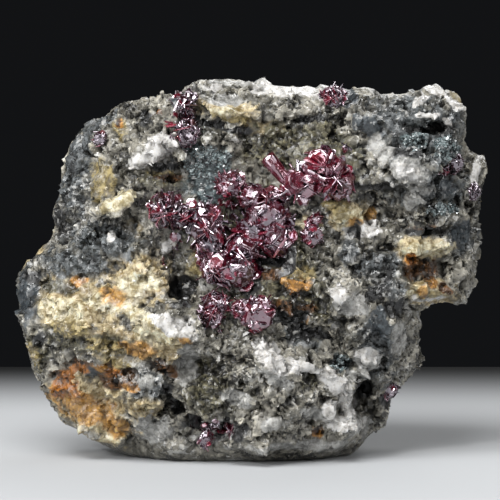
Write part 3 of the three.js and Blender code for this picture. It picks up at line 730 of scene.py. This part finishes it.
def leaning_normals(tree, cells, strength):
    """Normals that lean another way in each cell of a pattern, so that every cell glints on its own."""
    lean = on_vectors(tree, "SUBTRACT", cells, (0.5, 0.5, 0.5))
    own_lean = on_vectors(tree, "MULTIPLY", lean, strength)
    upright = add(tree, "ShaderNodeNewGeometry").outputs["Normal"]
    return on_vectors(tree, "NORMALIZE", on_vectors(tree, "ADD", upright, own_lean))


polish = spanned(tree, speck_picks.outputs["Blue"], end=(0.14, 0.5))
grit = add(tree, "ShaderNodeTexNoise", {
    "Vector": place, "Scale": 1 / (GRIT * MM), "Detail": 4.0}).outputs["Fac"]
fine_relief = on_numbers(tree, "SUBTRACT", grit, speck)
sugary = spanned(tree, attribute(tree, "massive"), end=(0.4, 0.12))
glints = leaning_normals(tree, grain_cells, sugary)  # of the finest grains, the last that were laid
bump = add(tree, "ShaderNodeBump", {
    "Height": fine_relief, "Distance": GRIT_HEIGHT * MM, "Strength": sugary, "Normal": glints})
sunk_light = spanned(tree, clean_share, end=(0.08, 0.16))
fill(tree, shader, {
    "Base Color": colour, "Roughness": polish, "Normal": bump.outputs["Normal"], "IOR": 1.54,
    "Subsurface Weight": sunk_light, "Subsurface Scale": LIGHT_DEPTH * MM,
    "Subsurface Radius": (1.0, 0.85, 0.65)})
rock.data.materials.append(quartz)
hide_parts("matrix")
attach(rock, "root")
print("material", quartz.name, "nodes", len(tree.nodes))

# %% [markdown]
# ## Loose-looking grains
# Sugary quartz and the dark druse are made of grains too small for the skin's grid. One grain is modelled
# as a four-sided stump; thousands of copies, each stretched and turned its own way, sit half sunk in the
# skin. A particle system could strew them, but copies in one mesh can each take the mineral shares of the
# point that they sit on, so the rock's material colours them too.

# %% Copy a small model many times
rng = np.random.default_rng(SEED)


def taken_model(piece):
    """The points, in mm, and the faces of a small model, which then goes."""
    model = points_of(piece.data), [tuple(face.vertices) for face in piece.data.polygons]
    bpy.data.objects.remove(piece)
    return model


def turned_to(axes):
    """A turn for each axis: it carries the model's upright to the axis, with a random spin about it."""
    axes = axes / np.linalg.norm(axes, axis=1)[:, None]
    across = np.cross(axes, rng.normal(size=axes.shape))
    across /= np.linalg.norm(across, axis=1)[:, None]
    return np.stack([across, np.cross(axes, across), axes], axis=2)


def strewn(name, model, places, axes, sizes, shares=None, brightest=1.0):
    """One mesh of many copies of a model, each stretched by its sizes, turned to its axis and placed."""
    points, faces = model
    copies = np.einsum("nij,nkj->nki", turned_to(axes), points[None] * sizes[:, None, :]) + places[:, None, :]
    mesh = bpy.data.meshes.new(name)
    mesh.from_pydata((copies.reshape(-1, 3) * MM).tolist(), [],
                     [[v + i * len(points) for v in face] for i in range(len(places)) for face in faces])
    for share, values in {**(shares or {}), "tone": brightest * rng.random(len(places))}.items():
        keep(mesh, share, np.repeat(values, len(points)))
    piece = bpy.data.objects.new(mesh.name, mesh)
    scene.collection.objects.link(piece)
    return piece


print("random draws start from seed", SEED)

# %% One grain, and where grains may sit
GRAIN_TOP, GRAIN_HEIGHT = 0.45, 1.4  # as shares of the grain's radius at its foot
bpy.ops.object.select_all(action="DESELECT")
bpy.ops.mesh.primitive_cone_add(vertices=4, radius1=MM, radius2=GRAIN_TOP * MM, depth=GRAIN_HEIGHT * MM)
GRAIN = taken_model(bpy.context.object)
skin_out = normals_of(rock.data)
open_skin = front * (1 - 0.8 * ramp(1.2 - bed_distance(skin), 0, 0.3)) * ramp(shaped[:, 2], 0.5, 2)
open_skin *= ramp(-outward[:, 1], 0.1, 0.5)
print("grain:", len(GRAIN[1]), "faces, open skin:", round(float(open_skin.mean()), 2))

# %% Grey sulphide druse
# Druse of a grey sulphide as it grew: tiny glossy faces, each a grey of its own, so the patch sparkles.
druse, tree, shader = new_material("grey_sulphide_druse")
druse_colour = mixed(tree, attribute(tree, "tone"), linear("#1a2122"), linear("#8d9b9c"))
fill(tree, shader, {"Base Color": druse_colour, "Roughness": 0.25, "IOR": 2.2})
print("material", druse.name)

# %% Quartz and druse grains
quartz_places = open_skin * (1 - 0.8 * massive) * (1 - minerals["druse"]) * (1 - 0.8 * soft)
druse_places = open_skin * ramp(minerals["druse"], 0.5, 0.9)
GRAIN_KINDS = {  # where, how many, smallest and largest radius in mm, height to width, and material
    "quartz_grains": (quartz_places, 3800, 0.16, 0.55, 0.4, quartz),
    "druse_grains": (druse_places, 1900, 0.12, 0.32, 0.8, druse),
}
SUNK_SHARE = 0.1  # of the radius, that a grain's middle lies under the skin
GRAIN_TILT = 0.45  # how far a grain leans away from upright
for name, (share, count, smallest, largest, flatness, material) in GRAIN_KINDS.items():
    anchors = rng.choice(len(skin), count, p=share / share.sum())
    radius = smallest * (largest / smallest) ** rng.random(count)
    sizes = radius[:, None] * rng.uniform(0.4, 1.4, (count, 3)) * (1, 1, flatness)
    axes = skin_out[anchors] + GRAIN_TILT * rng.normal(size=(count, 3))
    places = shaped[anchors] - SUNK_SHARE * radius[:, None] * skin_out[anchors]
    anchor_shares = {mineral: values[anchors] for mineral, values in minerals.items()}
    piece = strewn(name, GRAIN, places, axes, sizes, anchor_shares)
    piece.data.materials.append(material)
    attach(piece, "root")
    print(name, count, "faces", len(piece.data.polygons))

# %% [markdown]
# ## The red crystals
# The crystals are six-sided plates and books of plates, grown through one another. Their flat faces carry
# growth steps: a smaller plate lies on a larger one. Each group starts as a copy of its solid; its
# triangles are dissolved into whole faces, and every face is inset and raised, twice, which makes the
# steps. A bump texture could draw them, but only real steps catch the light along their rims.

# %% Growth steps on each group
GROWTH_STEPS = ((0.22, 0.07), (0.2, 0.06))  # mm in from the face's rim, and mm up
ONE_FACE = 3  # degrees between triangles that belong to the same face
crystals = {}
for node in sorted(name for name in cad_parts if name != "matrix"):
    piece = merged_copy(node, node + "_faces")
    bpy.ops.object.mode_set(mode="EDIT")
    bpy.ops.mesh.select_all(action="SELECT")
    bpy.ops.mesh.dissolve_limited(angle_limit=math.radians(ONE_FACE))
    for rim, up in GROWTH_STEPS:
        bpy.ops.mesh.select_all(action="SELECT")
        bpy.ops.mesh.inset(use_individual=True, thickness=rim * MM, depth=up * MM, use_even_offset=False)
    bpy.ops.object.mode_set(mode="OBJECT")
    crystals[node] = piece
print("crystal groups:", len(crystals), "faces:", sum(len(p.data.polygons) for p in crystals.values()))

# %% [markdown]
# ## Small crystals over the large ones
# Hundreds of small tablets grow on the large crystals and on the rock between them. One tablet is modelled
# from a six-sided cylinder with sloping rims, and copied as the grains were: size, form and turn differ
# from copy to copy, so the eye doesn't find the same one twice.

# %% One tablet
TABLET_HEIGHT = 0.4  # of the radius, before the rims are added
RIM_SLOPE, RIM_RISE = 0.26, 0.3  # of the radius, that the rim slopes in and up
bpy.ops.object.select_all(action="DESELECT")
bpy.ops.mesh.primitive_cylinder_add(vertices=6, radius=MM, depth=TABLET_HEIGHT * MM)
tablet = bpy.context.object
bpy.ops.object.mode_set(mode="EDIT")
bpy.ops.mesh.select_all(action="DESELECT")
bpy.ops.object.mode_set(mode="OBJECT")
for face in tablet.data.polygons:
    face.select = abs(face.normal.z) > 0.9
bpy.ops.object.mode_set(mode="EDIT")
bpy.ops.mesh.inset(use_individual=True, thickness=RIM_SLOPE * MM, depth=RIM_RISE * MM)
bpy.ops.object.mode_set(mode="OBJECT")
TABLET = taken_model(tablet)
print("tablet:", len(TABLET[0]), "points", len(TABLET[1]), "faces")


# %% Grow tablets on a surface
STANDING_SHARE = 0.5  # of the tablets, that stand on edge
LATH_SHARE, LATH_WIDTH, LATH_LENGTH = 0.45, 0.22, 1.5  # share of narrow tablets, and their form
FEWEST = 6  # tablets on the smallest group


def spread_over(mesh, per_mm2):
    """Random places on the front of a mesh, in mm, evenly by area, with the directions of their faces."""
    mesh.calc_loop_triangles()
    triangles = mesh.loop_triangles
    corners = rows_of(triangles, "vertices", 3, np.int32)
    normals = rows_of(triangles, "normal", 3, float)
    area = rows_of(triangles, "area", 1, float)[:, 0] * (normals[:, 1] < 0.3)
    number = max(FEWEST, round(per_mm2 * area.sum() / MM ** 2))
    chosen = rng.choice(len(area), number, p=area / area.sum())
    weights = rng.dirichlet((1, 1, 1), number)
    return np.einsum("nk,nkj->nj", weights, points_of(mesh)[corners[chosen]]), normals[chosen]


def grown_tablets(name, places, normals, largest, reddest=1.0):
    """Tablets on these places, some lying on the face and some standing on edge."""
    count = len(places)
    wild = rng.normal(size=(count, 3))
    standing = rng.random(count) < STANDING_SHARE
    lying_axes = normals + 0.3 * wild
    standing_axes = np.cross(normals, wild) + 0.3 * normals
    axes = np.where(standing[:, None], standing_axes, lying_axes)
    radius = largest * rng.uniform(0.3, 1.3, count)
    lath = rng.random(count) < LATH_SHARE
    width = np.where(lath, LATH_WIDTH, 1.0)
    length = np.where(lath, LATH_LENGTH, rng.uniform(0.7, 1.2, count))
    thickness = rng.uniform(0.15, 0.45, count) * np.sqrt(width)
    sizes = radius[:, None] * np.stack([length, width, thickness], axis=1)
    raised = np.where(standing, 0.3 * radius, 0.1 * radius)
    return strewn(name, TABLET, places + normals * raised[:, None], axes, sizes, brightest=reddest)


print("tablets that stand on edge:", STANDING_SHARE, "narrow ones:", LATH_SHARE)

# %% Small crystals on each group
REDDEST = {  # red of the reddest tablets, 1 where nothing is said: some groups are more silver than red
    "rosette_left": 0.8, "crystals_centre": 0.88, "rosette_top_left": 0.7, "crystal_upper_left": 0.7,
    "crystal_right_shoulder": 0.5, "crystal_right_edge": 0.5,
}
FACE_TONES = {  # red of the large faces
    "rosette_upper_right": 0.66, "crystals_centre": 0.5, "crystal_upper": 0.5, "crystal_lower": 0.62,
    "crystals_right": 0.55, "crystals_tail": 0.42,
}
OTHER_FACES = 0.3  # red of the faces that aren't named
ROSETTE_DENSITY, DENSITY = 0.15, 0.7  # tablets on a square mm, where the largest has a radius of 1 mm
for node, piece in crystals.items():
    low, high = (Vector(corner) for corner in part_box(node))
    largest = min(1.0, max(0.4, 0.1 * max(high - low) / MM))
    keep(piece.data, "tone", np.full(len(piece.data.vertices), FACE_TONES.get(node, OTHER_FACES)))
    per_mm2 = (ROSETTE_DENSITY if "rosette" in node else DENSITY) / largest ** 1.5
    small = grown_tablets(node + "_small", *spread_over(piece.data, per_mm2), largest, REDDEST.get(node, 1.0))
    only(piece)
    small.select_set(True)
    bpy.ops.object.join()
print("faces with the small crystals:", sum(len(p.data.polygons) for p in crystals.values()))

# %% [markdown]
# ## Crystals on the rock
# Between the large groups the bed of the hollow is sown with single small crystals. Their beds are ovals on
# the front, like the mineral patches, and every crystal stands on a point of the rock's own skin, so none
# can float.

# %% Small crystals on the rock
SOWN_SIZE = 0.75  # mm, radius of a middling crystal
BEDS = [  # across, up, half width, half height in mm, turn in degrees, and crystals in it
    (-2.5, 31.5, 5.5, 6.5, 0, 130), (9.5, 40.0, 4.0, 3.0, 0, 45), (-11.0, 34.5, 3.4, 2.6, 0, 40),
    (-5.0, 20.8, 2.2, 2.6, 0, 35), (-9.5, 46.5, 1.8, 4.5, 0, 45), (-4.6, 4.9, 2.2, 0.9, 0, 25),
    (-11.0, 29.0, 1.2, 2.6, -30, 14), (13.0, 43.2, 0.5, 0.5, 0, 4), (27.0, 40.0, 1.4, 0.9, 0, 12),
]
picked_points = []
for *row, count in BEDS:
    inside = np.flatnonzero((oval(shaped, *row) < 1) & (front > 0.5))
    picked_points.append(rng.choice(inside, count))
picked_points = np.concatenate(picked_points)
sown = grown_tablets("small_crystals", shaped[picked_points], skin_out[picked_points], SOWN_SIZE)
crystals["small_crystals"] = sown
print("small crystals on the rock:", len(picked_points))

# %% [markdown]
# ## Fans of blades
# Many of the crystals are thin blades that cross along one line, so they open like the pages of a book.
# Each fan is a ring of thin tablets turned about the line that points out of the rock. It is set on
# whatever stands nearest the viewer there, because a fan placed by hand could sink into its neighbours.

# %% Fans of blades
FANS = [  # across, up, radius in mm, blades
    (-6.2, 31.9, 2.1, 13), (-12.0, 34.3, 1.9, 12), (-9.2, 33.6, 1.3, 9), (11.2, 38.7, 2.1, 13),
    (9.0, 41.2, 1.9, 11), (-9.0, 48.8, 1.6, 10), (-9.2, 45.8, 1.4, 9), (-1.6, 28.4, 1.7, 11),
    (10.8, 49.9, 1.3, 8), (27.0, 40.2, 1.0, 8), (-4.8, 26.0, 1.6, 10), (2.2, 36.2, 1.5, 9),
    (-2.4, 35.2, 1.2, 8), (-5.6, 20.6, 1.2, 8), (31.0, 37.0, 1.0, 7),
]
NEAREST_PERCENT = 10  # of the points there, that are nearer the viewer than the fan's middle
standing_points = np.concatenate([points_of(piece.data) for piece in crystals.values()] + [shaped])
places, axes, sizes = [], [], []
for x, z, radius, blades in FANS:
    close = np.hypot(standing_points[:, 0] - x, standing_points[:, 2] - z) < 0.5 * radius
    y = np.percentile(standing_points[close, 1], NEAREST_PERCENT)
    fan_line = np.array([0, -1, 0]) + 0.25 * rng.normal(size=3)
    sides = turned_to(fan_line[None])[0]
    for blade in range(blades):
        angle = math.pi * (blade + rng.uniform(-0.3, 0.3)) / blades
        places.append(np.array([x, y, z]) + 0.12 * radius * rng.normal(size=3))
        axes.append(math.cos(angle) * sides[:, 0] + math.sin(angle) * sides[:, 1])
        blade_size = [rng.uniform(0.6, 1.0), rng.uniform(0.6, 1.0), rng.uniform(0.06, 0.16)]
        sizes.append(radius * np.array(blade_size))
crystals["blade_fans"] = strewn("blade_fans", TABLET, np.array(places), np.array(axes), np.array(sizes))
print("blades in the fans:", len(places))

# %% [markdown]
# ## The crystals' material
# The crystals are dark red, with the almost metallic shine of a mineral that bends light far more than
# glass does. A metal would lose the red, so a high index of refraction makes the shine, and the body colour
# shows between the reflections. Low mounds on the faces, each leaning another way, break up the mirror
# image.

# %% Dark red adamantine crystal
MOUND = 0.9  # mm across a low mound on a crystal face
MOUND_LEAN = 0.4  # how far a mound turns the mirror image
PITTING, PIT_RELIEF = 0.2, 0.08  # mm across and deep
# Adamantine crystal as it grew: silver where a face mirrors a soft box, elsewhere dark with a red glow.
red, tree, shader = new_material("dark_red_adamantine_crystal")
redness = on_numbers(tree, "POWER", attribute(tree, "tone"), 2.6)
body_colour = mixed(tree, redness, linear("#12050c"), linear("#8a1a30"))
face_place = add(tree, "ShaderNodeTexCoord").outputs["Object"]
mounds = add(tree, "ShaderNodeTexVoronoi", {"Vector": face_place, "Scale": 1 / (MOUND * MM)}).outputs["Color"]
pitting = add(tree, "ShaderNodeTexNoise", {"Vector": face_place, "Scale": 1 / (PITTING * MM), "Detail": 2.0})
mirrors = leaning_normals(tree, mounds, (MOUND_LEAN,) * 3)
bump = add(tree, "ShaderNodeBump", {
    "Height": pitting.outputs["Fac"], "Distance": PIT_RELIEF * MM, "Strength": 0.2, "Normal": mirrors})
fill(tree, shader, {
    "Base Color": body_colour, "Normal": bump.outputs["Normal"], "Roughness": 0.12, "IOR": 3.7,
    "Specular Tint": linear("#f2e8f2")})
for node, piece in crystals.items():
    piece.data.materials.append(red)
    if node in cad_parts:
        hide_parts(node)
    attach(piece, "root")
print("material", red.name, "on", len(crystals), "pieces")
